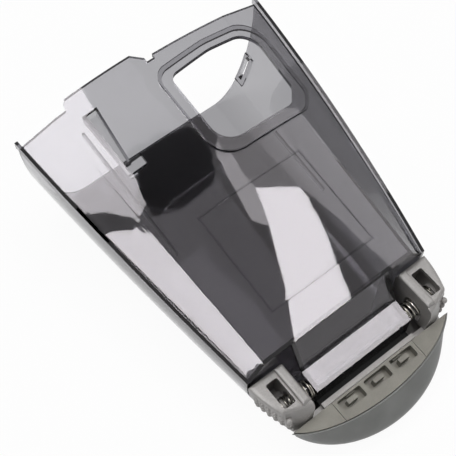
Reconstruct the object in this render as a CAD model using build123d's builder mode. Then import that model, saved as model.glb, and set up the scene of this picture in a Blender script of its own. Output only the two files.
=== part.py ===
from build123d import *
import os
from math import radians, sqrt, tan

# Dust bin of a hand-held cyclone vacuum cleaner, lying on its flat belly.
# X is the width, the nose points to -Y, the open mouth to +Y, and Z = 0 is the belly.
# Lengths along Y are given from the crest, the line where the top panel meets the nose.

# Clear cup, at the open mouth and at the crest
panel_length = 125.2
mouth_half_width = 60.0
front_half_width = 44.7
mouth_rail_height = 55.8
front_rail_height = 32.8
mouth_crown_rise = 8.8
front_crown_rise = 10.8
mouth_crease_inset = 18.0
front_crease_inset = 7.9
mouth_crease_rise = 5.3
front_crease_rise = 10.2
mouth_corner_width = 24.0
front_corner_width = 16.0
cup_wall = 2.0
belly_trim = 0.2
side_bow = 1.5
rail_bow = 2.0
cup_section_count = 5

# Rails along both upper edges of the cup
rail_thickness = 1.4
rail_rise = 2.6
rail_root = 1.2
rail_overhang = 1.8

# Upper rim of the mouth, with its tab and notch
tab_reach = 4.3
tab_right = -2.9
tab_left = -34.4
tab_ramp = 4.4
tab_shoulder = 1.6
notch_left = 1.7
notch_width = 3.7
notch_depth = 1.8

# Framed window in the top panel
window_left = 4.6
window_right = 46.6
window_setback = 11.8
window_length = 37.2
window_bow = 1.1
window_chamfer_width = 8.0
window_chamfer_length = 7.0
window_corner = 4.0
window_wide_corner = 9.0
ring_width = 5.0
ring_rise = 1.1
ring_step = 1.2

# Ribs under the top panel, set back from the mouth, the catch ramp and hole in it, and the line on it
rib_width = 1.0
rib_depth = 2.2
left_rib_x = -36.4
left_rib_setback = 10.9
left_rib_length = 61.3
right_rib_x = 26.0
right_rib_gap = 0.2
right_rib_length = 30.1
ramp_x = -31.0
ramp_setback = 6.6
ramp_length = 30.2
ramp_tip_width = 1.2
ramp_root_width = 4.4
ramp_tip_depth = 0.4
ramp_root_depth = 4.2
ramp_wall = 1.2
catch_hole_width = 7.6
catch_hole_length = 4.6
line_left = -22.3
line_right = 28.3
line_start = 13.4
line_end = 59.0
line_width = 0.6
line_rise = 0.4

# Snap slots in the side walls beside the mouth
snap_slot_low = 14.0
snap_slot_height = 10.5
snap_slot_width = 2.2
snap_slot_setback = 1.4
snap_pad_margin = 2.0
snap_pad_depth = 0.8

# Snout of the cup, which leads the air in from the nose
snout_half_width = 24.0
snout_reach = 16.5
snout_slope_reach = 7.3
snout_ledge_height = 28.8
snout_tip_height = 27.0
port_half_width = 18.5
port_height = 7.6
port_sill = 1.0

# Nose frame under the buttons
nose_ground_gap = 1.0
nose_side_length = 21.7
nose_side_taper = 5.9
taper_power = 1.7
nose_section_count = 5
nose_corner_width = 9.0
frame_rear_gap = 0.5
frame_wall = 2.0
frame_front = 21.2
frame_bulkhead = 2.1
frame_shelf_height = 16.0
shelf_inner_half = 30.0
lip_half_width = 23.5
lip_height = 18.8
prong_inner = 20.9
prong_width = 5.2
prong_reach = 4.8
prong_thickness = 2.0

# Release buttons
button_travel = 4.0
button_deck_height = 33.5
button_wall = 2.0
button_rear_gap = 0.6
button_running_gap = 0.3
button_front = 21.2
button_stop_gap = 1.4
catch_thickness = 3.8
catch_start = 1.4
catch_end = 18.6
catch_rise = 2.0
catch_round = 1.2
pocket_inner = 34.0
pocket_outer = 39.4
pocket_start = 4.0
pocket_end = 15.6
pocket_corner = 0.9
front_block = 5.0
front_rake = 8.7
front_sweep = 20.7
button_round = 1.8
guide_station = 6.5
guide_thickness = 2.4
guide_inner = 32.6
guide_length = 4.0
guide_web_height = 3.6
guide_drop = 3.9
toe_length = 1.2
toe_thickness = 1.2
grip_columns = 6
grip_rows = 3
grip_first = 4.6
grip_pitch = 2.8
grip_row_pitch = 3.9
grip_low = 19.6
grip_radius = 1.3
grip_proud = 0.8

# Button springs
spring_station = 12.2
spring_height = 23.5
spring_outer_diameter = 8.0
spring_wire = 0.7
spring_turns = 9
spring_gap = 0.1
spigot_clearance = 0.4
spigot_length = 3.0
seat_x = 39.0
spring_hole_gap = 0.8

# Nose deck and bumper
nose_reach = 40.7
deck_chord = 21.7
deck_half_axis = 43.1
deck_depth_axis = 18.7
deck_height = 20.5
deck_thickness = 2.0
deck_gap = 0.25
insert_half_width = 20.6
seam_gap = 0.2
ellipse_setback = 14.0
bumper_top_drop = 0.5
bumper_top_half_axis = 43.9
bumper_top_depth_axis = 19.5
bumper_upper_height = 15.0
bumper_upper_half_axis = 40.5
bumper_upper_depth_axis = 24.2
bumper_bulge_height = 9.0
bumper_bulge_half_axis = 38.3
bumper_lower_height = 4.0
bumper_lower_half_axis = 35.5
bumper_lower_depth_axis = 24.4
bumper_foot_half_axis = 32.0
bumper_foot_depth_axis = 20.0
bumper_wall = 2.5
bumper_floor = 2.2
deck_ledge = 1.6
inlet_half_width = 18.0
inlet_start = 23.0
inlet_end = 30.0
inlet_corner = 2.5

# Moulded pockets in the deck insert
deck_pocket_width = 11.4
deck_pocket_depth = 5.0
deck_pocket_sink = 4.2
deck_well_wall = 0.9
deck_pocket_pitch = 13.3
deck_pocket_station = 25.2
deck_pocket_corner = 0.8
island_width = 4.6
island_depth = 1.8
insert_leg_x = 12.0
insert_leg_width = 4.0
insert_leg_length = 6.0
insert_leg_thickness = 1.5

# Inlet flap
flap_axis_station = 12.5
flap_axis_height = 15.8
flap_barrel_radius = 1.4
flap_trunnion_radius = 1.0
trunnion_clearance = 0.05
flap_thickness = 1.2
flap_side_gap = 0.6
flap_floor_gap = 0.4

# Screws
screw_shank_diameter = 2.9
screw_thread_gap = 0.02
screw_head_diameter = 5.2
screw_head_height = 1.0
screw_head_gap = 0.2
screw_length = 9.0
screw_tip_gap = 0.6
boss_diameter = 6.0
boss_gap = 0.4
boss_setback = 1.2
deck_screw_x = 23.5
deck_screw_station = 24.2
deck_boss_diameter = 5.2

# Places worked out from the sizes above
overcut = 1.0
cutter_margin = 10.0
overall_length = nose_reach + panel_length + tab_reach
crest_y = nose_reach - overall_length / 2
shell_length = panel_length + tab_reach
window_far = panel_length - window_setback
window_near = window_far - window_length
left_rib_end = panel_length - left_rib_setback
right_rib_end = window_near - ring_width - right_rib_gap
ramp_end = panel_length - ramp_setback
ramp_start = ramp_end - ramp_length
frame_floor_top = nose_ground_gap + frame_wall
snout_floor_top = frame_floor_top + cup_wall
port_low = snout_floor_top + port_sill
port_high = port_low + port_height
cup_screw_x = shelf_inner_half - boss_gap - boss_diameter / 2
cup_screw_station = boss_diameter / 2 + boss_setback
spring_radius = (spring_outer_diameter - spring_wire) / 2
spigot_radius = spring_outer_diameter / 2 - spring_wire - spigot_clearance
deck_underside = deck_height - deck_thickness
bumper_top = deck_height - bumper_top_drop
bumper_floor_top = nose_ground_gap + bumper_floor
button_base = frame_shelf_height + button_running_gap
catch_inner = snout_half_width + button_travel + button_stop_gap
catch_outer = catch_inner + catch_thickness
wide = 2 * mouth_half_width + cutter_margin
tall = mouth_rail_height + mouth_crown_rise + cutter_margin


def mix(front, mouth, share):
    """Value part of the way from the front to the mouth."""
    return front + (mouth - front) * share


def behind(distance):
    """Y of a place on the cup, measured from the crest towards the mouth."""
    return crest_y + distance


def ahead(distance):
    """Y of a place on the nose, measured from the crest towards the tip."""
    return crest_y - distance


def bow(share):
    """How far a bow has risen part of the way along the cup, 1 in the middle and 0 at both ends."""
    return 4 * share * (1 - share)


def cup_half_width(share):
    """Half width of the cup at its rails."""
    return mix(front_half_width, mouth_half_width, share) + side_bow * bow(share)


def cup_rail_height(share):
    """Height of the upper edges that carry the rails."""
    return mix(front_rail_height, mouth_rail_height, share) + rail_bow * bow(share)


def cup_face(distance, inset):
    """Cross-section of the cup behind the crest, drawn in by an inset."""
    share = distance / panel_length
    half_width = cup_half_width(share)
    rail_height = cup_rail_height(share)
    corner_width = mix(front_corner_width, mouth_corner_width, share) + side_bow * bow(share)
    crease_inset = mix(front_crease_inset, mouth_crease_inset, share) + side_bow * bow(share)
    crease_rise = mix(front_crease_rise, mouth_crease_rise, share) - rail_bow * bow(share)
    crown_rise = mix(front_crown_rise, mouth_crown_rise, share) - rail_bow * bow(share)
    crease_half = half_width - crease_inset
    # Outward directions of the side facet and of the panel where it meets the facet
    facet = Vector(crease_rise, crease_inset).normalized()
    panel = Vector(2 * (crown_rise - crease_rise), crease_half).normalized()
    shift = (facet + panel) * (inset / (1 + facet.dot(panel)))
    corner_x = half_width - corner_width
    belly_z = inset - belly_trim
    rail_x = half_width - inset
    rail_z = rail_height - inset * (1 - facet.X) / facet.Y
    crease_x = crease_half - shift.X
    crease_z = rail_height + crease_rise - shift.Y
    crown_z = rail_height + crown_rise - inset
    radii = (corner_width - inset, rail_z - belly_z)
    with BuildSketch(Plane.XZ.offset(-behind(distance))) as outline:
        with BuildLine():
            Line((-corner_x, belly_z), (corner_x, belly_z))
            EllipticalCenterArc((corner_x, rail_z), *radii, 270, arc_size=90)
            Line((rail_x, rail_z), (crease_x, crease_z))
            ThreePointArc((crease_x, crease_z), (0, crown_z), (-crease_x, crease_z))
            Line((-crease_x, crease_z), (-rail_x, rail_z))
            EllipticalCenterArc((-corner_x, rail_z), *radii, 180, arc_size=90)
        make_face()
    return outline.sketch.face()


def panel_height(x, distance):
    """Height of the outer face of the top panel over a place in plan."""
    share = distance / panel_length
    crease_half = mix(front_half_width - front_crease_inset, mouth_half_width - mouth_crease_inset, share)
    crown_rise = mix(front_crown_rise, mouth_crown_rise, share)
    sag = crown_rise - mix(front_crease_rise, mouth_crease_rise, share)
    radius = (crease_half**2 + sag**2) / (2 * sag)
    crown = mix(front_rail_height, mouth_rail_height, share) + crown_rise
    return crown - radius + sqrt(radius**2 - x**2)


def section_places(start, end):
    """Distances of the cross-sections that a loft along the cup goes through."""
    spacing = (end - start) / (cup_section_count - 1)
    return [start + spacing * step for step in range(cup_section_count)]


def cup_faces(start, end, inset):
    """Cross-sections of the cup between two distances, drawn in by an inset."""
    return [cup_face(distance, inset) for distance in section_places(start, end)]


def shell_patch(prism, outer_inset, inner_inset):
    """Layer that follows the cup's wall between two insets, kept inside a prism."""
    with BuildPart() as patch:
        loft(cup_faces(0, shell_length, outer_inset))
        loft(cup_faces(-overcut, shell_length + overcut, inner_inset), mode=Mode.SUBTRACT)
        add(prism, mode=Mode.INTERSECT)
    return patch.part


def panel_prism(plan):
    """Upright prism over a plan outline, tall enough to pass through the top panel only."""
    with BuildPart() as prism:
        with BuildSketch(Plane.XY.offset(front_rail_height)):
            add(plan)
        extrude(amount=tall)
    return prism.part


def plan_strip(left, right, start, end):
    """Plan rectangle on the top panel."""
    with BuildSketch() as strip:
        with Locations(((left + right) / 2, behind((start + end) / 2))):
            Rectangle(right - left, end - start)
    return strip.sketch


def window_plan(margin):
    """Plan outline of the window, grown by a margin."""
    left = window_left - margin
    right = window_right + margin
    near = behind(window_near - margin)
    far = behind(window_far + margin)
    corners = [
        (left, far - window_bow),
        ((left + right) / 2, far + window_bow),
        (right, far),
        (right - window_corner / 2, near + window_chamfer_length),
        (right - window_chamfer_width, near),
        (left, near),
    ]
    small = window_corner + margin / 2
    large = window_wide_corner + margin / 2
    with BuildSketch() as plan:
        with BuildLine():
            FilletPolyline(*corners, radius=[small, 3 * large, large, small, small, large], close=True)
        make_face()
    return plan.sketch


def nose_half_width(station):
    """Half width of the nose at the button deck."""
    return front_half_width - nose_side_taper * (station / nose_side_length) ** taper_power


def nose_corner(station):
    """Width of the rounded lower corner of the nose."""
    return mix(front_corner_width, nose_corner_width, station / nose_side_length)


def nose_face(station, inset):
    """Cross-section of the nose ahead of the crest, drawn in by an inset."""
    corner_width = nose_corner(station)
    corner_x = nose_half_width(station) - corner_width
    low = nose_ground_gap + inset
    side_x = corner_x + corner_width - inset
    radii = (corner_width - inset, button_deck_height - low)
    with BuildSketch(Plane.XZ.offset(-ahead(station))) as outline:
        with BuildLine():
            Line((-corner_x, low), (corner_x, low))
            EllipticalCenterArc((corner_x, button_deck_height), *radii, 270, arc_size=90)
            Line((side_x, button_deck_height), (-side_x, button_deck_height))
            EllipticalCenterArc((-corner_x, button_deck_height), *radii, 180, arc_size=90)
        make_face()
    return outline.sketch.face()


def nose_block(inset, rear, front, low, high, inner=-wide):
    """Piece of the nose's body between two stations and two heights, right of an inner limit."""
    spacing = nose_side_length / (nose_section_count - 1)
    with BuildPart() as block:
        loft([nose_face(spacing * step, inset) for step in range(nose_section_count)])
        with Locations((inner, (ahead(rear) + ahead(front)) / 2, low)):
            Box(
                2 * wide,
                front - rear,
                high - low,
                align=(Align.MIN, Align.CENTER, Align.MIN),
                mode=Mode.INTERSECT,
            )
    return block.part


def nose_side_x(station, height):
    """X of the nose's side at a station and a height."""
    corner_width = nose_corner(station)
    drop = (button_deck_height - height) / (button_deck_height - nose_ground_gap)
    return nose_half_width(station) - corner_width + corner_width * sqrt(1 - drop**2)


def deck_face(height, half_axis, depth_axis):
    """D-shaped outline of the nose at a height, cut off straight at the chord."""
    with BuildSketch(Plane.XY.offset(height)) as outline:
        with Locations((0, ahead(ellipse_setback))):
            Ellipse(half_axis, depth_axis)
        with Locations((0, ahead(deck_chord))):
            Rectangle(wide, wide, align=(Align.CENTER, Align.MAX), mode=Mode.INTERSECT)
    return outline.sketch.face()


def bumper_sections(inset):
    """Heights and half axes of the bumper, drawn in by an inset, from its foot to below its rim."""
    bulge_depth_axis = nose_reach - ellipse_setback
    return [
        (nose_ground_gap, bumper_foot_half_axis - inset, bumper_foot_depth_axis - inset),
        (bumper_lower_height, bumper_lower_half_axis - inset, bumper_lower_depth_axis - inset),
        (bumper_bulge_height, bumper_bulge_half_axis - inset, bulge_depth_axis - inset),
        (bumper_upper_height, bumper_upper_half_axis - inset, bumper_upper_depth_axis - inset),
    ]


def span_box(x_range, y_range, z_range, mode=Mode.ADD):
    """Box between two limits on each axis."""
    low = (min(x_range), min(y_range), min(z_range))
    with Locations(low):
        Box(
            abs(x_range[1] - x_range[0]),
            abs(y_range[1] - y_range[0]),
            abs(z_range[1] - z_range[0]),
            align=(Align.MIN, Align.MIN, Align.MIN),
            mode=mode,
        )


def cross_rod(x_range, station, height, radius, mode=Mode.ADD):
    """Round rod along X."""
    with BuildSketch(Plane.YZ.offset(min(x_range))) as disc:
        with Locations((ahead(station), height)):
            Circle(radius)
    extrude(disc.sketch, amount=abs(x_range[1] - x_range[0]), dir=(1, 0, 0), mode=mode)


def upright_rod(x, station, z_range, radius, mode=Mode.ADD):
    """Round rod along Z."""
    with Locations((x, ahead(station), min(z_range))):
        Cylinder(
            radius,
            abs(z_range[1] - z_range[0]),
            align=(Align.CENTER, Align.CENTER, Align.MIN),
            mode=mode,
        )


def above_ramp(plan, drop):
    """Upright prism over a plan outline, above the sloping floor of the catch ramp or a drop below it."""
    tip_depth = ramp_tip_depth + drop
    root_depth = ramp_root_depth + drop
    with BuildPart() as prism:
        add(panel_prism(plan))
        with BuildSketch(Plane.YZ) as side:
            with BuildLine():
                Polyline(
                    (behind(ramp_start), panel_height(ramp_x, ramp_start) - tip_depth),
                    (behind(ramp_end), panel_height(ramp_x, ramp_end) - root_depth),
                    (behind(shell_length), panel_height(ramp_x, ramp_end) - root_depth),
                    (behind(shell_length), tall),
                    (behind(0), tall),
                    (behind(0), panel_height(ramp_x, ramp_start) - tip_depth),
                    close=True,
                )
            make_face()
        extrude(side.sketch, amount=wide, both=True, mode=Mode.INTERSECT)
    return prism.part


# Raised frame, ribs, catch ramp and line that follow the arched panel
window_ring = shell_patch(panel_prism(window_plan(ring_width)), -ring_rise, cup_wall / 2)
ring_hollow = shell_patch(
    panel_prism(window_plan(ring_width - ring_step)), cup_wall - ring_rise, cup_wall + overcut
)

left_rib_plan = plan_strip(
    left_rib_x - rib_width / 2,
    left_rib_x + rib_width / 2,
    left_rib_end - left_rib_length,
    left_rib_end,
)
right_rib_plan = plan_strip(
    right_rib_x - rib_width / 2,
    right_rib_x + rib_width / 2,
    right_rib_end - right_rib_length,
    right_rib_end,
)
with BuildSketch() as ramp_plan:
    with BuildLine():
        Polyline(
            (ramp_x - ramp_tip_width / 2, behind(ramp_start)),
            (ramp_x + ramp_tip_width / 2, behind(ramp_start)),
            (ramp_x - ramp_tip_width / 2 + ramp_root_width, behind(ramp_end)),
            (ramp_x - ramp_tip_width / 2, behind(ramp_end)),
            close=True,
        )
    make_face()
with BuildSketch() as ramp_wall_plan:
    add(ramp_plan.sketch)
    offset(amount=ramp_wall, kind=Kind.INTERSECTION)
catch_hole_plan = plan_strip(
    ramp_x - ramp_tip_width / 2,
    ramp_x - ramp_tip_width / 2 + catch_hole_width,
    ramp_start,
    ramp_start + catch_hole_length,
)
with BuildSketch() as line_plan:
    add(plan_strip(line_left, line_right, line_start, line_end))
    add(
        plan_strip(
            line_left + line_width,
            line_right - line_width,
            line_start + line_width,
            line_end - line_width,
        ),
        mode=Mode.SUBTRACT,
    )
left_rib = shell_patch(panel_prism(left_rib_plan), cup_wall / 2, cup_wall + rib_depth)
right_rib = shell_patch(panel_prism(right_rib_plan), cup_wall / 2, cup_wall + rib_depth)
catch_ramp = shell_patch(
    above_ramp(ramp_wall_plan.sketch, cup_wall), cup_wall / 2, 2 * cup_wall + ramp_root_depth
)
panel_line = shell_patch(panel_prism(line_plan.sketch), -line_rise, cup_wall / 2)

# Pads around the snap slots, on the inner side of both side walls
snap_slot_far = behind(panel_length - snap_slot_setback)
snap_slot_near = snap_slot_far - snap_slot_width
snap_slot_high = snap_slot_low + snap_slot_height
with BuildPart() as pad_prism:
    span_box(
        (-wide, wide),
        (snap_slot_near - snap_pad_margin, behind(panel_length)),
        (snap_slot_low - snap_pad_margin, snap_slot_high + snap_pad_margin),
    )
snap_pads = shell_patch(pad_prism.part, cup_wall / 2, cup_wall + snap_pad_depth)

# Upper rim of the mouth: everything past this outline is trimmed away
rim_y = behind(panel_length)
past_rim = behind(shell_length) + overcut
with BuildSketch(Plane.XY.offset(mouth_rail_height + overcut)) as rim_trim:
    with BuildLine():
        Polyline(
            (wide, rim_y),
            (notch_left + notch_width, rim_y),
            (notch_left + notch_width, rim_y - notch_depth),
            (notch_left, rim_y - notch_depth),
            (notch_left, rim_y),
            (tab_right, behind(shell_length)),
            (tab_left, behind(shell_length)),
            (tab_left - tab_shoulder, behind(shell_length) - tab_shoulder),
            (tab_left - tab_ramp / 2, rim_y),
            (-wide, rim_y),
            (-wide, past_rim),
            (wide, past_rim),
            close=True,
        )
    make_face()

snout_top = front_rail_height + front_crease_rise


def snout_face(rear, inset):
    """Side profile of the snout, from a line behind the crest to its tip, drawn in by an inset."""
    with BuildSketch(Plane.YZ) as profile:
        with BuildLine():
            Polyline(
                (behind(rear), frame_floor_top),
                (behind(rear), snout_top),
                (ahead(0), snout_top),
                (ahead(snout_slope_reach), snout_ledge_height),
                (ahead(snout_reach), snout_tip_height),
                (ahead(snout_reach), frame_floor_top),
                close=True,
            )
        make_face()
        offset(amount=-inset, kind=Kind.INTERSECTION)
    return profile.sketch.face()


def rail_face(side, distance):
    """Cross-section of one side rail."""
    share = distance / panel_length
    rail_x = cup_half_width(share) - rail_thickness / 2
    rail_z = cup_rail_height(share) - rail_root
    with BuildSketch(Plane.XZ.offset(-behind(distance))) as outline:
        with Locations((side * rail_x, rail_z)):
            Rectangle(rail_thickness, rail_rise + rail_root, align=(Align.CENTER, Align.MIN))
    return outline.sketch.face()


with BuildPart() as dust_cup:
    loft(cup_faces(0, shell_length, 0))
    add(window_ring)
    add(panel_line)
    loft(cup_faces(cup_wall, shell_length + overcut, cup_wall), mode=Mode.SUBTRACT)
    add(ring_hollow, mode=Mode.SUBTRACT)
    for inner_piece in (left_rib, right_rib, catch_ramp, snap_pads):
        add(inner_piece)
    # Ramp that sinks towards the mouth, and the catch hole at its tip
    add(above_ramp(ramp_plan.sketch, 0), mode=Mode.SUBTRACT)
    add(panel_prism(catch_hole_plan), mode=Mode.SUBTRACT)
    # Flat belly
    span_box((-wide, wide), (ahead(overcut), past_rim), (-overcut, 0), mode=Mode.SUBTRACT)
    # Mouth rim
    span_box(
        (-wide, wide),
        (rim_y, past_rim),
        (-overcut, mouth_rail_height + overcut),
        mode=Mode.SUBTRACT,
    )
    extrude(rim_trim.sketch, amount=tall, mode=Mode.SUBTRACT)
    # Window through the panel
    add(panel_prism(window_plan(0)), mode=Mode.SUBTRACT)
    # Snap slots through both side walls
    span_box(
        (-wide, wide),
        (snap_slot_near, snap_slot_far),
        (snap_slot_low, snap_slot_high),
        mode=Mode.SUBTRACT,
    )
    # Side rails
    for side in (-1, 1):
        loft([rail_face(side, place) for place in section_places(0, panel_length + rail_overhang)])
    # Snout: outer body, hollow and port
    extrude(snout_face(cup_wall / 2, 0), amount=snout_half_width, both=True)
    for side in (-1, 1):
        upright_rod(
            side * cup_screw_x,
            cup_screw_station,
            (frame_floor_top, frame_floor_top + screw_length),
            boss_diameter / 2,
        )
        # Corner web that ties the screw boss to the snout and to the front wall
        span_box(
            (side * (snout_half_width - cup_wall / 2), side * cup_screw_x),
            (behind(cup_wall / 2), ahead(cup_screw_station)),
            (frame_floor_top, frame_floor_top + screw_length),
        )
        cross_rod(
            (side * (snout_half_width - cup_wall / 2), side * (snout_half_width + spigot_length)),
            spring_station,
            spring_height,
            spigot_radius,
        )
    extrude(
        snout_face(2 * cup_wall + overcut, cup_wall),
        amount=snout_half_width - cup_wall,
        both=True,
        mode=Mode.SUBTRACT,
    )
    span_box(
        (-port_half_width, port_half_width),
        (ahead(snout_reach + overcut), ahead(snout_reach - cup_wall - overcut)),
        (port_low, port_high),
        mode=Mode.SUBTRACT,
    )
    cross_rod(
        (-snout_half_width - overcut, snout_half_width + overcut),
        flap_axis_station,
        flap_axis_height,
        flap_trunnion_radius + trunnion_clearance,
        mode=Mode.SUBTRACT,
    )
    for side in (-1, 1):
        upright_rod(
            side * cup_screw_x,
            cup_screw_station,
            (frame_floor_top - overcut, frame_floor_top + screw_length - screw_tip_gap),
            screw_shank_diameter / 2 + screw_thread_gap,
            mode=Mode.SUBTRACT,
        )

with BuildPart() as nose_frame:
    add(nose_block(0, frame_rear_gap, frame_front, 0, frame_shelf_height))
    add(
        nose_block(
            frame_wall,
            frame_rear_gap + frame_wall,
            frame_front - frame_bulkhead,
            frame_floor_top,
            frame_shelf_height - frame_wall,
        ),
        mode=Mode.SUBTRACT,
    )
    # Room for the snout between both sides
    span_box(
        (-shelf_inner_half, shelf_inner_half),
        (behind(overcut), ahead(frame_front - frame_bulkhead)),
        (frame_floor_top, frame_shelf_height + overcut),
        mode=Mode.SUBTRACT,
    )
    # Front wall with the lip that shows behind the deck
    span_box(
        (-lip_half_width, lip_half_width),
        (ahead(frame_front - frame_bulkhead), ahead(frame_front)),
        (nose_ground_gap, lip_height),
    )
    span_box(
        (-port_half_width, port_half_width),
        (ahead(frame_front - frame_bulkhead - overcut), ahead(frame_front + overcut)),
        (port_low, port_high),
        mode=Mode.SUBTRACT,
    )
    for side in (-1, 1):
        # Prong that the bumper and the deck are screwed to
        span_box(
            (side * prong_inner, side * (prong_inner + prong_width)),
            (ahead(frame_front - frame_bulkhead / 2), ahead(frame_front + prong_reach)),
            (bumper_floor_top, bumper_floor_top + prong_thickness),
        )
        # Slot in the shelf that guides the button
        span_box(
            (
                side * (shelf_inner_half - overcut),
                side * (guide_inner + guide_length + button_running_gap),
            ),
            (
                ahead(guide_station - guide_thickness / 2 - button_running_gap),
                ahead(guide_station + guide_thickness / 2 + button_running_gap),
            ),
            (frame_shelf_height - frame_wall - overcut, frame_shelf_height + overcut),
            mode=Mode.SUBTRACT,
        )
        # Counterbored hole for the screw into the cup
        upright_rod(
            side * cup_screw_x,
            cup_screw_station,
            (0, nose_ground_gap + screw_head_height),
            screw_head_diameter / 2 + screw_head_gap,
            mode=Mode.SUBTRACT,
        )
        for x, station in (
            (cup_screw_x, cup_screw_station),
            (deck_screw_x, deck_screw_station),
        ):
            upright_rod(
                side * x,
                station,
                (0, bumper_floor_top + prong_thickness + overcut),
                screw_shank_diameter / 2 + screw_head_gap,
                mode=Mode.SUBTRACT,
            )

with BuildPart() as duct_seal:
    span_box(
        (-lip_half_width + seam_gap, lip_half_width - seam_gap),
        (ahead(snout_reach), ahead(frame_front - frame_bulkhead)),
        (frame_floor_top, port_high + cup_wall),
    )
    span_box(
        (-port_half_width, port_half_width),
        (ahead(snout_reach - overcut), ahead(frame_front + overcut)),
        (port_low, port_high),
        mode=Mode.SUBTRACT,
    )

# Raised bar along the inner plate of a button
with BuildPart() as catch_bar:
    span_box(
        (catch_inner, catch_outer),
        (ahead(catch_start), ahead(catch_end)),
        (button_deck_height - button_wall, button_deck_height + catch_rise),
    )
    fillet(catch_bar.edges().group_by(Axis.Z)[-1], catch_round)

# Plane of a button's raked and swept front face
front_plane = Plane(
    (catch_outer, ahead(button_front), deck_height),
    z_dir=(tan(radians(front_sweep)), -1, tan(radians(front_rake))),
)
spring_hole_radius = spring_outer_diameter / 2 + spring_hole_gap
spring_wall_x = nose_side_x(spring_station, spring_height) - button_wall / 2
guide_outer = guide_inner + guide_length
guide_low = button_base - guide_drop

with BuildPart() as release_button_right:
    add(nose_block(0, button_rear_gap, button_front, button_base, button_deck_height, catch_inner))
    add(
        nose_block(
            button_wall,
            button_rear_gap + button_wall,
            button_front - front_block,
            button_base - overcut,
            button_deck_height - button_wall,
            catch_outer,
        ),
        mode=Mode.SUBTRACT,
    )
    split(bisect_by=front_plane, keep=Keep.BOTTOM)
    # Rounded outer edges of the deck and of the front face
    deck_edges = release_button_right.faces().sort_by(Axis.Z)[-1].edges()
    front_edges = release_button_right.faces().filter_by(front_plane)[0].edges()
    rounded = deck_edges.filter_by(lambda edge: edge.center().X > catch_outer)
    rounded += front_edges.sort_by(Axis.X)[-1:]
    fillet(rounded, button_round)
    add(catch_bar.part)
    # Pocket that takes the hook of the docking base
    with BuildSketch(Plane.XY.offset(button_deck_height + overcut)):
        with Locations(((pocket_inner + pocket_outer) / 2, ahead((pocket_start + pocket_end) / 2))):
            RectangleRounded(pocket_outer - pocket_inner, pocket_end - pocket_start, pocket_corner)
    extrude(amount=-button_wall - 2 * overcut, mode=Mode.SUBTRACT)
    # Passage for the spring through the inner plate
    span_box(
        (catch_inner - overcut, catch_outer + overcut),
        (ahead(spring_station - spring_hole_radius), ahead(spring_station + spring_hole_radius)),
        (button_base - overcut, spring_height),
        mode=Mode.SUBTRACT,
    )
    cross_rod(
        (catch_inner - overcut, catch_outer + overcut),
        spring_station,
        spring_height,
        spring_hole_radius,
        mode=Mode.SUBTRACT,
    )
    # Seat and spigot for the spring on the outer wall
    cross_rod((seat_x, spring_wall_x), spring_station, spring_height, spring_outer_diameter / 2)
    cross_rod((seat_x - spigot_length, seat_x), spring_station, spring_height, spigot_radius)
    # Web with the guide that runs in the slot of the shelf, and its snap toe
    span_box(
        (catch_outer - overcut, nose_side_x(guide_station, button_base) - button_wall / 2),
        (ahead(guide_station - guide_thickness / 2), ahead(guide_station + guide_thickness / 2)),
        (button_base, button_base + guide_web_height),
    )
    span_box(
        (guide_inner, guide_outer),
        (ahead(guide_station - guide_thickness / 2), ahead(guide_station + guide_thickness / 2)),
        (guide_low, button_base),
    )
    span_box(
        (guide_outer, guide_outer + toe_length),
        (ahead(guide_station - guide_thickness / 2), ahead(guide_station + guide_thickness / 2)),
        (guide_low, guide_low + toe_thickness),
    )
    # Grip domes on the outer wall
    for row in range(grip_rows):
        for column in range(grip_columns):
            station = grip_first + grip_pitch * column
            height = grip_low + grip_row_pitch * row
            dome_x = nose_side_x(station, height) + grip_proud - grip_radius
            with Locations((dome_x, ahead(station), height)):
                Sphere(grip_radius)

with BuildPart() as release_button_left:
    add(release_button_right.part)
    mirror(about=Plane.YZ, mode=Mode.REPLACE)

spring_start = snout_half_width + spring_gap + spring_wire / 2
spring_end = seat_x - spring_gap - spring_wire / 2
spring_length = spring_end - spring_start

with BuildPart() as button_spring_right:
    with BuildLine() as coil:
        Helix(
            pitch=spring_length / spring_turns,
            height=spring_length,
            radius=spring_radius,
            center=(spring_start, ahead(spring_station), spring_height),
            direction=(1, 0, 0),
        )
    with BuildSketch(Plane(coil.line @ 0, z_dir=coil.line % 0)):
        Circle(spring_wire / 2)
    sweep(is_frenet=True)

with BuildPart() as button_spring_left:
    add(button_spring_right.part)
    mirror(about=Plane.YZ, mode=Mode.REPLACE)

with BuildPart() as nose_bumper:
    outer = bumper_sections(0) + [(bumper_top, bumper_top_half_axis, bumper_top_depth_axis)]
    loft([deck_face(*section) for section in outer])
    # Recess for the deck plates
    extrude(
        deck_face(deck_underside, deck_half_axis + deck_gap, deck_depth_axis + deck_gap),
        amount=deck_thickness,
        mode=Mode.SUBTRACT,
    )
    # Air space, open to the frame's port
    inner = bumper_sections(bumper_wall)
    inner[0] = (bumper_floor_top, *inner[1][1:])
    ledge_axes = (deck_half_axis - deck_ledge, deck_depth_axis - deck_ledge)
    loft(
        [deck_face(*section) for section in inner + [(deck_underside, *ledge_axes)]],
        mode=Mode.SUBTRACT,
    )
    # Inlet in the underside
    with BuildSketch():
        with Locations((0, ahead((inlet_start + inlet_end) / 2))):
            RectangleRounded(2 * inlet_half_width, inlet_end - inlet_start, inlet_corner)
    extrude(amount=bumper_floor_top + overcut, mode=Mode.SUBTRACT)
    for side in (-1, 1):
        upright_rod(
            side * deck_screw_x,
            deck_screw_station,
            (0, nose_ground_gap + screw_head_height),
            screw_head_diameter / 2 + screw_head_gap,
            mode=Mode.SUBTRACT,
        )
        upright_rod(
            side * deck_screw_x,
            deck_screw_station,
            (0, bumper_floor_top + overcut),
            screw_shank_diameter / 2 + screw_head_gap,
            mode=Mode.SUBTRACT,
        )

prong_top = bumper_floor_top + prong_thickness
deck_screw_tip = nose_ground_gap + screw_head_height + screw_length

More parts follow.
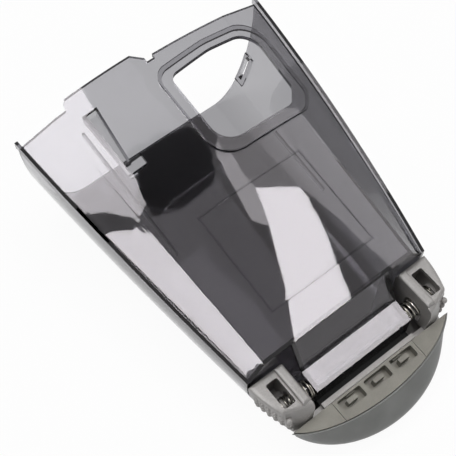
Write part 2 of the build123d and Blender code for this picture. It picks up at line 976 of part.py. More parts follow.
with BuildPart() as deck_wing_right:
    extrude(deck_face(deck_underside, deck_half_axis, deck_depth_axis), amount=deck_thickness)
    span_box(
        (-wide, insert_half_width + seam_gap),
        (ahead(deck_chord - overcut), ahead(nose_reach)),
        (deck_underside - overcut, deck_height + overcut),
        mode=Mode.SUBTRACT,
    )
    # Boss for the screw that holds the nose together
    upright_rod(deck_screw_x, deck_screw_station, (prong_top, deck_underside), deck_boss_diameter / 2)
    upright_rod(
        deck_screw_x,
        deck_screw_station,
        (prong_top, deck_screw_tip + screw_tip_gap),
        screw_shank_diameter / 2 + screw_thread_gap,
        mode=Mode.SUBTRACT,
    )

with BuildPart() as deck_wing_left:
    add(deck_wing_right.part)
    mirror(about=Plane.YZ, mode=Mode.REPLACE)

well_half_width = deck_pocket_pitch + deck_pocket_width / 2 + deck_well_wall
well_half_depth = deck_pocket_depth / 2 + deck_well_wall

with BuildPart() as deck_insert:
    extrude(deck_face(deck_underside, deck_half_axis, deck_depth_axis), amount=deck_thickness)
    span_box(
        (-insert_half_width, insert_half_width),
        (ahead(deck_chord - overcut), ahead(nose_reach)),
        (deck_underside, deck_height),
        mode=Mode.INTERSECT,
    )
    # Wells under the plate that hold the pockets
    span_box(
        (-well_half_width, well_half_width),
        (ahead(deck_pocket_station - well_half_depth), ahead(deck_pocket_station + well_half_depth)),
        (deck_height - deck_pocket_sink - deck_well_wall, deck_underside),
    )
    # Three moulded pockets, each around an island
    with BuildSketch(Plane.XY.offset(deck_height)):
        with Locations((0, ahead(deck_pocket_station))):
            with GridLocations(deck_pocket_pitch, 1, 3, 1):
                RectangleRounded(deck_pocket_width, deck_pocket_depth, deck_pocket_corner)
                Rectangle(island_width, island_depth, mode=Mode.SUBTRACT)
    extrude(amount=-deck_pocket_sink, mode=Mode.SUBTRACT)
    # Legs behind the frame's front wall
    for side in (-1, 1):
        span_box(
            (
                side * (insert_leg_x - insert_leg_width / 2),
                side * (insert_leg_x + insert_leg_width / 2),
            ),
            (ahead(deck_chord), ahead(deck_chord + insert_leg_thickness)),
            (deck_underside - insert_leg_length, deck_underside),
        )

flap_half_width = snout_half_width - cup_wall - flap_side_gap
flap_front = ahead(flap_axis_station + flap_barrel_radius)

with BuildPart() as inlet_flap:
    span_box(
        (-flap_half_width, flap_half_width),
        (flap_front, flap_front + flap_thickness),
        (snout_floor_top + flap_floor_gap, flap_axis_height),
    )
    cross_rod(
        (-flap_half_width, flap_half_width),
        flap_axis_station,
        flap_axis_height,
        flap_barrel_radius,
    )
    cross_rod(
        (-snout_half_width, snout_half_width),
        flap_axis_station,
        flap_axis_height,
        flap_trunnion_radius,
    )

with BuildPart() as nose_screws:
    for side in (-1, 1):
        for x, station in (
            (cup_screw_x, cup_screw_station),
            (deck_screw_x, deck_screw_station),
        ):
            head_top = nose_ground_gap + screw_head_height
            upright_rod(side * x, station, (nose_ground_gap, head_top), screw_head_diameter / 2)
            upright_rod(
                side * x,
                station,
                (head_top, head_top + screw_length - screw_tip_gap),
                screw_shank_diameter / 2,
            )

sub_parts = {
    "dust_cup": dust_cup,
    "nose_frame": nose_frame,
    "duct_seal": duct_seal,
    "release_button_left": release_button_left,
    "release_button_right": release_button_right,
    "button_spring_left": button_spring_left,
    "button_spring_right": button_spring_right,
    "nose_bumper": nose_bumper,
    "deck_wing_left": deck_wing_left,
    "deck_wing_right": deck_wing_right,
    "deck_insert": deck_insert,
    "inlet_flap": inlet_flap,
    "nose_screws": nose_screws,
}

os.makedirs("parts", exist_ok=True)
for name, sub_part in sub_parts.items():
    sub_part.part.label = name
    export_step(sub_part.part, f"parts/{name}.step")
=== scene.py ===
# %% [markdown]
# # A clear dust bin on a pale studio floor
#
# This is the dust bin of a handheld cyclone vacuum: a smoke-grey clear cup, two sprung silver buttons
# that let it go, and a soft nose with the air inlet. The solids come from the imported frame, already in
# place and in metres. This script gives them their finishes, models the pieces whose look needs more
# than a plain solid, and sets up the camera, the floor and the light.

# %% Load the frame
import bmesh
import bpy
from math import cos, pi, radians, sin
from mathutils import Matrix, Vector


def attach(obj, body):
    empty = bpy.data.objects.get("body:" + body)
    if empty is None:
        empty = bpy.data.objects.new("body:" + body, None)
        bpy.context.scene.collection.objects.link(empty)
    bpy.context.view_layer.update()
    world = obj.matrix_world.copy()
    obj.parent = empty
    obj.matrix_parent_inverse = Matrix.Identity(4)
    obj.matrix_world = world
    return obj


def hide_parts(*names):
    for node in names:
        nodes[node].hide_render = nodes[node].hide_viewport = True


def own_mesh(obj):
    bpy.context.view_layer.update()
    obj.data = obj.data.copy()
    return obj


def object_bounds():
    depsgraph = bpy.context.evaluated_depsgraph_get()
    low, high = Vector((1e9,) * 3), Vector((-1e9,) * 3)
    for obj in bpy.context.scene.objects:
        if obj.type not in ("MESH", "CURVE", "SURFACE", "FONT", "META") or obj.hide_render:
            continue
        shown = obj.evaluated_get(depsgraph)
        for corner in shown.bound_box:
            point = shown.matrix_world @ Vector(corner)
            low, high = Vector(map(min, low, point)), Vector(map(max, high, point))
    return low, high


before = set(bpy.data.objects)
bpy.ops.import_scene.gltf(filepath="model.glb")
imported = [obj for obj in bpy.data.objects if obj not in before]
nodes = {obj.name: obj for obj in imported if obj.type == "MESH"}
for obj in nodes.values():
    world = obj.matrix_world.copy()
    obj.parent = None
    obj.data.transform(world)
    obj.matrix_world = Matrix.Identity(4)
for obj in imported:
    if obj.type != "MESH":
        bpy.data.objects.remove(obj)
cad_low, cad_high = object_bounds()
scene = bpy.context.scene
mm = 0.001
print("frame", sorted(nodes), [round(side / mm, 1) for side in cad_high - cad_low])

# %% [markdown]
# ## Small helpers
#
# Colours are written as the hex values that a colour picker shows, and shaders want linear light, so one
# function turns one into the other. The next adds a node, sets its properties and fills its sockets, with a
# number or with a link from another node. The last two start an empty material, and make an object of a
# finished bmesh: its place is in its mesh, so the object itself stays at the origin.

# %% Colour, node and object helpers
def paint(hex_colour):
    """Linear RGBA of an sRGB hex value."""
    channels = [int(hex_colour[place:place + 2], 16) / 255 for place in (1, 3, 5)]
    linear = [c / 12.92 if c <= 0.04045 else ((c + 0.055) / 1.055) ** 2.4 for c in channels]
    return (*linear, 1.0)


def add(tree, kind, sockets=None, **settings):
    """Add a node with its settings, and give each named socket a value or a link."""
    node = tree.nodes.new(kind)
    for name, value in settings.items():
        setattr(node, name, value)
    for name, value in (sockets or {}).items():
        if isinstance(value, bpy.types.NodeSocket):
            tree.links.new(value, node.inputs[name])
        else:
            node.inputs[name].default_value = value
    return node


def new_material(name):
    """Empty node material and its tree."""
    material = bpy.data.materials.new(name)
    material.use_nodes = True
    material.node_tree.nodes.clear()
    return material, material.node_tree


def new_object(name, bm, material):
    """Object at the origin with the shape of a bmesh and one material."""
    mesh = bpy.data.meshes.new(name)
    bm.to_mesh(mesh)
    bm.free()
    mesh.materials.append(material)
    made = bpy.data.objects.new(name, mesh)
    scene.collection.objects.link(made)
    return made


print("white is", paint("#FFFFFF"))

# %% [markdown]
# ## Camera
#
# The bin was photographed from above its left front corner with a long lens, close enough for the nose to
# look a little larger than the mouth. Azimuth and elevation say where the camera stands, and the lens
# follows from how large the bin stands in a square picture.

# %% Camera
picture_side = 456
focal_pixels = 1000
camera_azimuth = radians(-38.1)
camera_elevation = radians(62)
camera_distance = 375.8 * mm
camera_aim = Vector((-16.7, 2.8, 55.8)) * mm

camera_back = Vector((
    sin(camera_azimuth) * cos(camera_elevation),
    -cos(camera_azimuth) * cos(camera_elevation),
    sin(camera_elevation),
))
camera_data = bpy.data.cameras.new("camera")
camera_data.sensor_width = 36
camera_data.lens = camera_data.sensor_width * focal_pixels / picture_side
camera = bpy.data.objects.new("camera", camera_data)
camera.location = camera_aim + camera_back * camera_distance
camera.rotation_euler = (-camera_back).to_track_quat("-Z", "Y").to_euler()
scene.collection.objects.link(camera)
scene.camera = camera
scene.view_settings.view_transform = "Standard"
print("camera at", [round(value / mm) for value in camera.location], "mm, lens", round(camera_data.lens, 1))

# %% [markdown]
# ## Floor
#
# The floor is a plain pale sheet. To the camera, and to what is mirrored in the plastic, most of its white is
# its own glow, so that the picture's ground stays white, and the rest is an ordinary matt surface that takes
# the bin's shadow. Other rays only meet the matt surface, so the glow lights nothing. Rays that pass through
# clear plastic count as glossy too, so those are taken off first. They see the glow through one wall, which
# has two faces, and through more walls only the matt surface, because there the floor lies in the deep shade
# of the bin. Light Path counts those faces as Transmission Depth, in whole numbers, so a limit half a step
# above a number is safe.

# %% Floor finish
floor_glow = 0.95
floor_glow_inside = 0.7
faces_of_a_wall = 2
half_step = 0.5

floor_material, tree = new_material("pale_floor")
path = add(tree, "ShaderNodeLightPath")
mirrored = add(tree, "ShaderNodeMath", operation="SUBTRACT", use_clamp=True, sockets={
    0: path.outputs["Is Glossy Ray"], 1: path.outputs["Is Transmission Ray"]})
open_rays = add(tree, "ShaderNodeMath", operation="MAXIMUM", sockets={
    0: path.outputs["Is Camera Ray"], 1: mirrored.outputs[0]})
open_glow = add(tree, "ShaderNodeMath", operation="MULTIPLY", sockets={
    0: open_rays.outputs[0], 1: floor_glow})
one_wall = add(tree, "ShaderNodeMath", operation="LESS_THAN", sockets={
    0: path.outputs["Transmission Depth"], 1: faces_of_a_wall + half_step})
through_it = add(tree, "ShaderNodeMath", operation="MULTIPLY", sockets={
    0: path.outputs["Is Transmission Ray"], 1: one_wall.outputs[0]})
inside_glow = add(tree, "ShaderNodeMath", operation="MULTIPLY", sockets={
    0: through_it.outputs[0], 1: floor_glow_inside})
share = add(tree, "ShaderNodeMath", operation="MAXIMUM", sockets={
    0: open_glow.outputs[0], 1: inside_glow.outputs[0]})
matt = add(tree, "ShaderNodeBsdfDiffuse", {"Color": paint("#F6F6F6")})
glow = add(tree, "ShaderNodeEmission", {"Color": paint("#FFFFFF"), "Strength": 1.0})
mixed = add(tree, "ShaderNodeMixShader", {0: share.outputs[0], 1: matt.outputs[0], 2: glow.outputs[0]})
add(tree, "ShaderNodeOutputMaterial", {"Surface": mixed.outputs[0]})
print(floor_material.name)

# %% Floor sheet
floor_half = 3.0
floor_gap = 0.3 * mm

bm = bmesh.new()
bmesh.ops.create_grid(bm, x_segments=1, y_segments=1, size=floor_half)
bmesh.ops.translate(bm, verts=bm.verts, vec=(0, 0, cad_low.z - floor_gap))
floor = new_object("floor", bm, floor_material)
print("floor at", round(floor.data.vertices[0].co.z / mm, 2), "mm")

# %% [markdown]
# ## World
#
# The world does as the floor does: it is white to the eye and a weak fill as a light. Where it is mirrored it
# is a pale grey, as a studio ceiling between its lamps would be, and darker still where it is mirrored inside
# the bin, since a ray that has passed no face yet can only have met the outside.

# %% World
ceiling_level = 0.65
ceiling_level_inside = 0.15
fill_level = 0.12

world = bpy.data.worlds.new("studio")
world.use_nodes = True
tree = world.node_tree
tree.nodes.clear()
path = add(tree, "ShaderNodeLightPath")
fill = add(tree, "ShaderNodeBackground", {"Color": paint("#FFFFFF"), "Strength": fill_level})
outside = add(tree, "ShaderNodeMath", operation="LESS_THAN", sockets={
    0: path.outputs["Transmission Depth"], 1: half_step})
level = add(tree, "ShaderNodeMapRange", {
    "Value": outside.outputs[0], "To Min": ceiling_level_inside, "To Max": ceiling_level})
ceiling = add(tree, "ShaderNodeBackground", {"Color": paint("#FFFFFF"), "Strength": level.outputs[0]})
white = add(tree, "ShaderNodeBackground", {"Color": paint("#FFFFFF"), "Strength": 1.0})
lit_or_mirrored = add(tree, "ShaderNodeMixShader", {
    0: path.outputs["Is Glossy Ray"], 1: fill.outputs[0], 2: ceiling.outputs[0]})
seen = add(tree, "ShaderNodeMath", operation="MAXIMUM", sockets={
    0: path.outputs["Is Camera Ray"], 1: path.outputs["Is Transmission Ray"]})
mixed = add(tree, "ShaderNodeMixShader", {
    0: seen.outputs[0], 1: lit_or_mirrored.outputs[0], 2: white.outputs[0]})
add(tree, "ShaderNodeOutputWorld", {"Surface": mixed.outputs[0]})
scene.world = world
print(world.name, "ceiling", ceiling_level, "and fill", fill_level)

# %% [markdown]
# ## Light
#
# Clear plastic is drawn by what it mirrors, so the lamps are large white boxes with plain edges. A small box
# overhead lies white on the ledge of the snout, a wide one behind on the left corner of the mouth, and a weak
# one at the right as a grey veil on the right of the panel. They hang far off, so that each is mirrored at
# the same place in the whole panel. A broad soft lamp overhead lights the matt pieces, and leaves no mirror
# image. A lamp shines along its own -Z axis, so all of them hang flat.

# %% Soft boxes
def soft_box(name, place, width, depth, glare):
    """Rectangular lamp that hangs flat at a place in metres, with a given radiance."""
    lamp = bpy.data.lights.new(name, "AREA")
    lamp.shape = "RECTANGLE"
    lamp.size = width
    lamp.size_y = depth
    lamp.energy = glare * pi * width * depth
    box = bpy.data.objects.new(name, lamp)
    box.location = place
    box.visible_camera = False
    scene.collection.objects.link(box)
    print(name, round(lamp.energy, 1), "W")
    return box


soft_box("ledge_box", place=(0.70, -0.39, 2.04), width=0.36, depth=0.20, glare=8.6)
soft_box("back_box", place=(-0.45, 0.545, 2.05), width=1.1, depth=0.43, glare=6.2)
soft_box("right_box", place=(1.24, 0.10, 2.05), width=0.48, depth=0.65, glare=2.0)
broad_lamp = soft_box("broad_lamp", place=(-0.1, 0.2, 2.1), width=1.4, depth=1.4, glare=2.7)
broad_lamp.visible_glossy = False

# %% [markdown]
# ## Lit cloth
#
# The white band on the front of the top panel is the mirror image of a strip of lit cloth, hung askew
# overhead, so its outline is given corner by corner. Two dimmer cloths beside it, cut to meet it, make the
# paler bands at its left end and behind it. A tall slanting cloth at the left lies white along the whole left
# facet, which twists, so the cloth leans as it rises. It stands near, so that seen from the right the panel
# mirrors only a part of it, and it lights nothing, because it would make the nose too bright on that side.
# Area lamps are rectangles or ellipses only, so the cloths are meshes that glow.

# %% Lit cloth
def hang(name, bm, material):
    """Hang a flat mesh in the scene, unseen by the camera and casting no shadow."""
    sheet = new_object(name, bm, material)
    sheet.visible_camera = False
    sheet.visible_shadow = False
    print(name, "hangs at", round(sheet.data.vertices[0].co.z, 2), "m")
    return sheet


def lit_cloth(name, corners, glare):
    """Hang a cloth with the given corners and radiance."""
    cloth, tree = new_material(f"lit_cloth_of_{name}")
    glow = add(tree, "ShaderNodeEmission", {"Color": paint("#FFFFFF"), "Strength": glare})
    add(tree, "ShaderNodeOutputMaterial", {"Surface": glow.outputs[0]})
    bm = bmesh.new()
    bm.faces.new([bm.verts.new(corner) for corner in corners])
    return hang(name, bm, cloth)


overhead = 2.05
strip_corners = [(0.747, 0.182), (0.998, 0.147), (0.718, -0.25), (0.390, -0.25)]
band_corners = [(0.747, 0.182), (0.665, 0.083), (0.60, 0.12), (0.68, 0.33), (0.75, 0.33)]
veil_corners = [(0.747, 0.182), (0.75, 0.425), (1.0, 0.425), (1.0, 0.149), (0.998, 0.147)]
lit_cloth("overhead_strip", [(x, y, overhead) for x, y in strip_corners], glare=12.2)
lit_cloth("pale_band", [(x, y, overhead) for x, y in band_corners], glare=4.2)
lit_cloth("veil", [(x, y, overhead) for x, y in veil_corners], glare=2.0)

left_of_bin = -0.45
left_corners = [(-0.115, 0.07), (-0.02, 0.07), (0.03, 0.40), (0.15, 0.90), (0.04, 0.90), (-0.06, 0.40)]
left_cloth = lit_cloth("left_cloth", [(left_of_bin, y, z) for y, z in left_corners], glare=10.4)
left_cloth.visible_diffuse = False

# %% [markdown]
# ## Black card
#
# Photographers hang black cards where a clear object needs a dark accent. This one hangs behind the strip:
# where the panel mirrors it there is no veil, and the eye looks straight into the dark of the bin. It starts
# as a few corners, and a bevel of the corners alone rounds its outline.

# %% Black card
card_height = 2.0
card_corners = [(0.045, 0.30), (0.12, 0.435), (0.60, 0.39), (0.635, 0.28), (0.53, 0.235), (0.25, 0.24)]
card_rounding = 0.05
rounding_segments = 8

card_material, tree = new_material("black_card")
matt = add(tree, "ShaderNodeBsdfDiffuse", {"Color": paint("#050505")})
add(tree, "ShaderNodeOutputMaterial", {"Surface": matt.outputs[0]})

bm = bmesh.new()
bm.faces.new([bm.verts.new((x, y, card_height)) for x, y in card_corners])
bmesh.ops.bevel(bm, geom=bm.verts[:], offset=card_rounding, affect="VERTICES",
                segments=rounding_segments, profile=0.5, material=-1)
card = hang("black_card", bm, card_material)
card.visible_diffuse = False

# %% [markdown]
# ## Clear smoke plastic
#
# The cup is moulded in a clear styrene plastic tinted smoke grey. Its colour isn't on its surface: the tint
# swallows light along the way through the wall, so one wall looks mid grey, two look dark, and an edge, where
# the eye looks along the wall, looks nearly black. A Volume Absorption does just that. Light from a lamp
# can't find its way through bending glass by itself, so for shadow rays, and for light that a matt surface
# scatters, the surface is Transparent and a little darker, and the same absorption tints the shade. The
# polished surface has a faint waviness from the mould, which bends its reflections a little.

# %% Clear smoke plastic
# A noise hardly ever leaves this middle part of its range, so its full swing is read from here.
noise_low, noise_high = 0.3, 0.7
smoke_per_metre = 540.0


def per_mm(size):
    """Texture scale whose cells are this many millimetres wide."""
    return 1 / (size * mm)


def clear_smoke_styrene():
    """Tinted clear plastic, polished, a little wavy."""
    material, tree = new_material("clear_smoke_styrene")
    place = add(tree, "ShaderNodeTexCoord").outputs["Object"]
    waves = add(tree, "ShaderNodeTexNoise", {"Vector": place, "Scale": per_mm(22), "Detail": 1.0})
    bump = add(tree, "ShaderNodeBump", {
        "Height": waves.outputs["Fac"], "Strength": 0.08, "Distance": 0.4 * mm})
    haze = add(tree, "ShaderNodeTexNoise", {"Vector": place, "Scale": per_mm(4), "Detail": 4.0})
    rough = add(tree, "ShaderNodeMapRange", {
        "Value": haze.outputs["Fac"], "From Min": noise_low, "From Max": noise_high,
        "To Min": 0.012, "To Max": 0.03})
    skin = add(tree, "ShaderNodeBsdfPrincipled", {
        "Base Color": paint("#FFFFFF"), "Transmission Weight": 1.0, "IOR": 1.57,
        "Specular Tint": paint("#FFFAFE"), "Roughness": rough.outputs[0], "Normal": bump.outputs[0]})
    shade = add(tree, "ShaderNodeBsdfTransparent", {"Color": paint("#A8A8A8")})
    path = add(tree, "ShaderNodeLightPath")
    to_floor = add(tree, "ShaderNodeMath", operation="MAXIMUM", sockets={
        0: path.outputs["Is Shadow Ray"], 1: path.outputs["Is Diffuse Ray"]})
    mixed = add(tree, "ShaderNodeMixShader", {
        0: to_floor.outputs[0], 1: skin.outputs[0], 2: shade.outputs[0]})
    tint = add(tree, "ShaderNodeVolumeAbsorption", {
        "Color": paint("#8A8892"), "Density": smoke_per_metre})
    add(tree, "ShaderNodeOutputMaterial", {"Surface": mixed.outputs[0], "Volume": tint.outputs[0]})
    return material


smoke = clear_smoke_styrene()
print(smoke.name)

# %% [markdown]
# ## Satin ABS
#
# The buttons, the nose frame and the deck are moulded in ABS. The mould is spark-eroded, which leaves a fine
# even grain and so a satin shine. The silver colour holds aluminium flakes: each faces its own way, so the
# surface sparkles a little. The deck is the same plastic with a warmer grey pigment and fewer flakes. A noise
# as fine as the grain gives the bump, cells stand for the flakes, and wide soft clouds show where the melt
# flowed through the mould.

# %% Satin ABS
def satin_abs(name, dark, light, metallic, flake_share):
    """Moulded ABS with an eroded grain, flow clouds and bright flakes."""
    material, tree = new_material(name)
    place = add(tree, "ShaderNodeTexCoord").outputs["Object"]
    # The real grain and flakes are about 0.1 mm wide; drawn wider, they show in the render.
    grain = add(tree, "ShaderNodeTexNoise", {"Vector": place, "Scale": per_mm(0.35), "Detail": 2.0})
    flakes = add(tree, "ShaderNodeTexVoronoi", {"Vector": place, "Scale": per_mm(0.4)})
    flow = add(tree, "ShaderNodeTexNoise", {"Vector": place, "Scale": per_mm(8), "Detail": 3.0})
    clouds = add(tree, "ShaderNodeMapRange", {
        "Value": flow.outputs["Fac"], "From Min": noise_low, "From Max": noise_high})
    turned = add(tree, "ShaderNodeSeparateColor", {"Color": flakes.outputs["Color"]})
    tone = add(tree, "ShaderNodeMix", {0: flake_share, 2: clouds.outputs[0], 3: turned.outputs["Red"]})
    colour = add(tree, "ShaderNodeMix", data_type="RGBA", sockets={
        0: tone.outputs[0], 6: paint(dark), 7: paint(light)})
    rough = add(tree, "ShaderNodeMapRange", {
        "Value": grain.outputs["Fac"], "From Min": noise_low, "From Max": noise_high,
        "To Min": 0.36, "To Max": 0.5})
    bump = add(tree, "ShaderNodeBump", {
        "Height": grain.outputs["Fac"], "Strength": 0.3, "Distance": 0.02 * mm})
    skin = add(tree, "ShaderNodeBsdfPrincipled", {
        "Base Color": colour.outputs[2], "Metallic": metallic, "IOR": 1.53,
        "Roughness": rough.outputs[0], "Normal": bump.outputs[0]})
    add(tree, "ShaderNodeOutputMaterial", {"Surface": skin.outputs[0]})
    return material


silver = satin_abs("silver_satin_abs", dark="#999694", light="#AFACAA", metallic=0.15, flake_share=0.5)
warm_grey = satin_abs("warm_grey_satin_abs", dark="#7A776F", light="#8A877E", metallic=0.05, flake_share=0.25)
print(silver.name, warm_grey.name)

# %% [markdown]
# ## Soft-touch nose
#
# The front of the nose is overmoulded with a thermoplastic elastomer, so that it doesn't mark furniture. It
# looks velvety: hardly any mirror image, a broad pale sheen where the surface turns away from the eye, and a
# very fine leathery grain. A sheen layer gives the pale rim, and two noises give the grain and the slight
# blotches.

# %% Soft-touch elastomer
def soft_touch_elastomer():
    """Grey elastomer with a velvety sheen."""
    material, tree = new_material("soft_touch_elastomer")
    place = add(tree, "ShaderNodeTexCoord").outputs["Object"]
    grain = add(tree, "ShaderNodeTexNoise", {"Vector": place, "Scale": per_mm(0.5), "Detail": 3.0})
    blotch = add(tree, "ShaderNodeTexNoise", {"Vector": place, "Scale": per_mm(12), "Detail": 4.0})
    tone = add(tree, "ShaderNodeMapRange", {
        "Value": blotch.outputs["Fac"], "From Min": noise_low, "From Max": noise_high})
    colour = add(tree, "ShaderNodeMix", data_type="RGBA", sockets={
        0: tone.outputs[0], 6: paint("#757674"), 7: paint("#818280")})
    rough = add(tree, "ShaderNodeMapRange", {
        "Value": grain.outputs["Fac"], "From Min": noise_low, "From Max": noise_high,
        "To Min": 0.46, "To Max": 0.58})
    bump = add(tree, "ShaderNodeBump", {
        "Height": grain.outputs["Fac"], "Strength": 0.25, "Distance": 0.03 * mm})
    skin = add(tree, "ShaderNodeBsdfPrincipled", {
        "Base Color": colour.outputs[2], "IOR": 1.5, "Roughness": rough.outputs[0],
        "Sheen Weight": 0.25, "Sheen Roughness": 0.4, "Normal": bump.outputs[0]})
    add(tree, "ShaderNodeOutputMaterial", {"Surface": skin.outputs[0]})
    return material


soft_grey = soft_touch_elastomer()
print(soft_grey.name)

# %% [markdown]
# ## Rubber gasket and flap
#
# The gasket round the snout and the flap behind the inlet are moulded rubber, black and dark grey. Rubber
# straight from the mould is matt and carries a trace of pale release powder, thicker in some places than in
# others. A cloudy mask mixes that powder in and roughens the surface where it lies.

# %% Moulded rubber
powder_roughness = 0.15


def moulded_rubber(name, bare, powdered, roughness):
    """Matt rubber with a trace of pale powder."""
    material, tree = new_material(name)
    place = add(tree, "ShaderNodeTexCoord").outputs["Object"]
    cloud = add(tree, "ShaderNodeTexNoise", {
        "Vector": place, "Scale": per_mm(5), "Detail": 6.0, "Roughness": 0.65})
    powder = add(tree, "ShaderNodeMapRange", {
        "Value": cloud.outputs["Fac"], "From Min": 0.45, "From Max": 0.75})
    grit = add(tree, "ShaderNodeTexNoise", {"Vector": place, "Scale": per_mm(0.4), "Detail": 2.0})
    colour = add(tree, "ShaderNodeMix", data_type="RGBA", sockets={
        0: powder.outputs[0], 6: paint(bare), 7: paint(powdered)})
    rough = add(tree, "ShaderNodeMapRange", {
        "Value": powder.outputs[0], "To Min": roughness, "To Max": roughness + powder_roughness})
    bump = add(tree, "ShaderNodeBump", {
        "Height": grit.outputs["Fac"], "Strength": 0.3, "Distance": 0.03 * mm})
    skin = add(tree, "ShaderNodeBsdfPrincipled", {
        "Base Color": colour.outputs[2], "IOR": 1.52,
        "Roughness": rough.outputs[0], "Normal": bump.outputs[0]})
    add(tree, "ShaderNodeOutputMaterial", {"Surface": skin.outputs[0]})
    return material


black_rubber = moulded_rubber("black_gasket_rubber", bare="#101010", powdered="#232323", roughness=0.7)
flap_rubber = moulded_rubber("grey_flap_rubber", bare="#28282A", powdered="#3E3E40", roughness=0.55)
print(black_rubber.name, flap_rubber.name)

# %% [markdown]
# ## Spring steel
#
# Spring wire is pulled through a die, which leaves it bright, with fine lines along the wire. The wire runs
# round the spring's axis, so a noise that is narrow along X and wide across it draws those lines without any
# map.

# %% Drawn spring steel
bright_steel, tree = new_material("drawn_spring_steel")
place = add(tree, "ShaderNodeTexCoord").outputs["Object"]
# Die lines are a few hundredths of a millimetre wide; drawn at 0.12 mm they show.
along = add(tree, "ShaderNodeMapping", {"Vector": place, "Scale": (per_mm(0.12), per_mm(5), per_mm(5))})
lines = add(tree, "ShaderNodeTexNoise", {"Vector": along.outputs[0], "Scale": 1.0, "Detail": 2.0})
colour = add(tree, "ShaderNodeMix", data_type="RGBA", sockets={
    0: lines.outputs["Fac"], 6: paint("#A9A59C"), 7: paint("#DAD6CD")})
rough = add(tree, "ShaderNodeMapRange", {
    "Value": lines.outputs["Fac"], "From Min": noise_low, "From Max": noise_high,
    "To Min": 0.16, "To Max": 0.3})
bump = add(tree, "ShaderNodeBump", {"Height": lines.outputs["Fac"], "Strength": 0.2, "Distance": 0.01 * mm})
skin = add(tree, "ShaderNodeBsdfPrincipled", {
    "Base Color": colour.outputs[2], "Metallic": 1.0,
    "Roughness": rough.outputs[0], "Normal": bump.outputs[0]})
add(tree, "ShaderNodeOutputMaterial", {"Surface": skin.outputs[0]})
print(bright_steel.name)

# %% [markdown]
# ## Zinc plating
#
# The screws are zinc plated against rust: a bluish bright coat whose small crystals each mirror a little
# differently. A noise would blur them into clouds, so they are drawn as cells, each with a grey and a
# roughness of its own.

# %% Zinc-plated steel
zinc, tree = new_material("zinc_plated_steel")
place = add(tree, "ShaderNodeTexCoord").outputs["Object"]
crystals = add(tree, "ShaderNodeTexVoronoi", {"Vector": place, "Scale": per_mm(0.5)})
facing = add(tree, "ShaderNodeSeparateColor", {"Color": crystals.outputs["Color"]})
colour = add(tree, "ShaderNodeMix", data_type="RGBA", sockets={
    0: facing.outputs["Red"], 6: paint("#A9ADB1"), 7: paint("#C4C8CC")})
rough = add(tree, "ShaderNodeMapRange", {"Value": facing.outputs["Green"], "To Min": 0.28, "To Max": 0.45})
dull = add(tree, "ShaderNodeTexNoise", {"Vector": place, "Scale": per_mm(0.3), "Detail": 2.0})
bump = add(tree, "ShaderNodeBump", {"Height": dull.outputs["Fac"], "Strength": 0.2, "Distance": 0.01 * mm})
skin = add(tree, "ShaderNodeBsdfPrincipled", {
    "Base Color": colour.outputs[2], "Metallic": 1.0,
    "Roughness": rough.outputs[0], "Normal": bump.outputs[0]})
add(tree, "ShaderNodeOutputMaterial", {"Surface": skin.outputs[0]})
print(zinc.name)

# %% [markdown]
# ## Give each solid its finish
#
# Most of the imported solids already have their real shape, edges rounded as moulded, so they stay and only get
# their finish. The springs and screws get it too, although the next steps put finer pieces in their place.

# %% Finish the solids
finishes = {
    "dust_cup": smoke,
    "nose_frame": silver,
    "release_button_left": silver,
    "release_button_right": silver,
    "deck_wing_left": warm_grey,
    "deck_wing_right": warm_grey,
    "deck_insert": warm_grey,
    "nose_bumper": soft_grey,
    "duct_seal": black_rubber,
    "inlet_flap": flap_rubber,
    "button_spring_left": bright_steel,
    "button_spring_right": bright_steel,
    "nose_screws": zinc,
}
for name, material in finishes.items():
    nodes[name].data.materials.clear()
    nodes[name].data.materials.append(material)
print("finished", len(finishes), "nodes")

# %% [markdown]
# ## Button springs
#
# Each button is pushed out by a small compression spring, wound from bright steel wire. Its last turn at each
# end lies flat against the turn beside it, so that it stands square on its seat. A screw modifier could wind
# it, but spinning a small circle with a step along the axis lets the closed end turns and the open ones in
# the middle follow each other in one wire. A spring can't move with one body: it stands on the cup and gets
# shorter as the button comes in, so it rides on the bin.

# %% Wind the springs
spring_axis = Vector((0, -56.6, 23.5)) * mm
inner_seat = 24.1 * mm
outer_seat = 38.9 * mm
spring_radius = 3.65 * mm
wire_radius = 0.35 * mm
closed_pitch = 0.73 * mm
open_turns = 7
wire_segments = 12
steps_a_turn = 28

spring_length = outer_seat - inner_seat
open_pitch = (spring_length - 2 * wire_radius - 2 * closed_pitch) / open_turns


def wind_spring(side):
    """Wire of a compression spring along X, from the cup out to the button on one side."""
    bm = bmesh.new()
    first = Vector((side * (inner_seat + wire_radius), spring_axis.y, spring_axis.z + spring_radius))
    upright = Matrix.Translation(first) @ Matrix.Rotation(radians(90), 4, "X")
    bmesh.ops.create_circle(bm, segments=wire_segments, radius=wire_radius, matrix=upright)
    wire_end = bm.verts[:] + bm.edges[:]
    for turns, pitch in ((1, closed_pitch), (open_turns, open_pitch), (1, closed_pitch)):
        steps = steps_a_turn * turns
        spun = bmesh.ops.spin(bm, geom=wire_end, cent=spring_axis, axis=(1, 0, 0), angle=2 * pi * turns,
                              dvec=(side * pitch / steps_a_turn, 0, 0), steps=steps)
        wire_end = spun["geom_last"]
    bmesh.ops.holes_fill(bm, edges=[edge for edge in bm.edges if edge.is_boundary])
    bmesh.ops.recalc_face_normals(bm, faces=bm.faces)
    return bm


for hand, side in (("left", -1), ("right", 1)):
    spring = new_object(f"wound_spring_{hand}", wind_spring(side), bright_steel)
    spring.data.shade_smooth()
    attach(spring, "bin")
    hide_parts(f"button_spring_{hand}")
    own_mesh(spring)

# %% [markdown]
# ## Screws
#
# Four zinc-plated screws hold the nose from below. Each has a low round head with a cross recess. The head's
# face is filled between its rim and the outline of the cross, so the recess can be extruded straight out of
# that outline, with walls that draw in like a driver's tip.

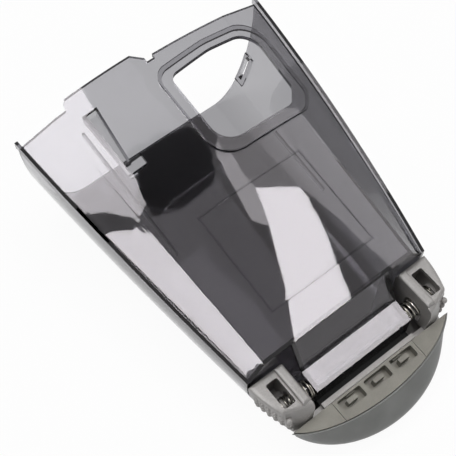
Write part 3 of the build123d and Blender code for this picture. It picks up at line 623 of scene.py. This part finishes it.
# %% Screws with a cross recess
screw_places = [(26.6, -48.6), (-26.6, -48.6), (23.5, -68.6), (-23.5, -68.6)]
screw_head_radius = 2.6 * mm
screw_head_rise = 1.0 * mm
screw_shank_radius = 1.45 * mm
screw_face_z = 1.0 * mm
screw_tip_z = 10.4 * mm
screw_tip_radius = 0.435 * mm
recess_arm = 1.5 * mm
recess_half = 0.35 * mm
recess_depth = 0.8 * mm
recess_taper = 0.7
head_segments = 32
crease_angle = radians(35)


def add_screw(bm, x, y):
    """One screw, head down, into the mesh."""
    face = Matrix.Translation((x, y, screw_face_z))
    centred = Matrix.Translation((-x, -y, 0))
    rim = bmesh.ops.create_circle(bm, segments=head_segments, radius=screw_head_radius, matrix=face)["verts"]
    quarter = [(recess_arm, -recess_half), (recess_arm, recess_half), (recess_half, recess_half)]
    corners = [Matrix.Rotation(turn * pi / 2, 2) @ Vector(point) for turn in range(4) for point in quarter]
    cross = [bm.verts.new((x + corner.x, y + corner.y, screw_face_z)) for corner in corners]
    cross_edges = [bm.edges.new((cross[i - 1], cross[i])) for i in range(len(cross))]
    rim_edges = [edge for edge in bm.edges if edge.verts[0] in rim and edge.verts[1] in rim]
    bmesh.ops.triangle_fill(bm, use_beauty=True, edges=rim_edges + cross_edges)
    floor_ring = bmesh.ops.extrude_edge_only(bm, edges=cross_edges)["geom"]
    floor_verts = [item for item in floor_ring if isinstance(item, bmesh.types.BMVert)]
    floor_edges = [item for item in floor_ring if isinstance(item, bmesh.types.BMEdge)]
    bmesh.ops.translate(bm, verts=floor_verts, vec=(0, 0, recess_depth))
    bmesh.ops.scale(bm, verts=floor_verts, vec=(recess_taper, recess_taper, 1), space=centred)
    bmesh.ops.triangle_fill(bm, use_beauty=True, edges=[e for e in floor_edges if e.is_boundary])
    ring = rim_edges
    radius, height = screw_head_radius, screw_face_z
    for next_radius, next_height in (
        (screw_head_radius, screw_face_z + screw_head_rise),
        (screw_shank_radius, screw_face_z + screw_head_rise),
        (screw_shank_radius, screw_tip_z - screw_shank_radius),
        (screw_tip_radius, screw_tip_z),
    ):
        grown = bmesh.ops.extrude_edge_only(bm, edges=ring)["geom"]
        verts = [item for item in grown if isinstance(item, bmesh.types.BMVert)]
        ring = [item for item in grown if isinstance(item, bmesh.types.BMEdge) and item.is_boundary]
        share = next_radius / radius
        bmesh.ops.scale(bm, verts=verts, vec=(share, share, 1), space=centred)
        bmesh.ops.translate(bm, verts=verts, vec=(0, 0, next_height - height))
        radius, height = next_radius, next_height
    bmesh.ops.holes_fill(bm, edges=ring)


bm = bmesh.new()
for x, y in screw_places:
    add_screw(bm, x * mm, y * mm)
bmesh.ops.recalc_face_normals(bm, faces=bm.faces)
screws = new_object("cross_head_screws", bm, zinc)
screws.data.shade_smooth()
screws.data.set_sharp_from_angle(angle=crease_angle)
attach(screws, "bin")
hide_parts("nose_screws")
print(screws.name, len(screws.data.polygons), "faces")
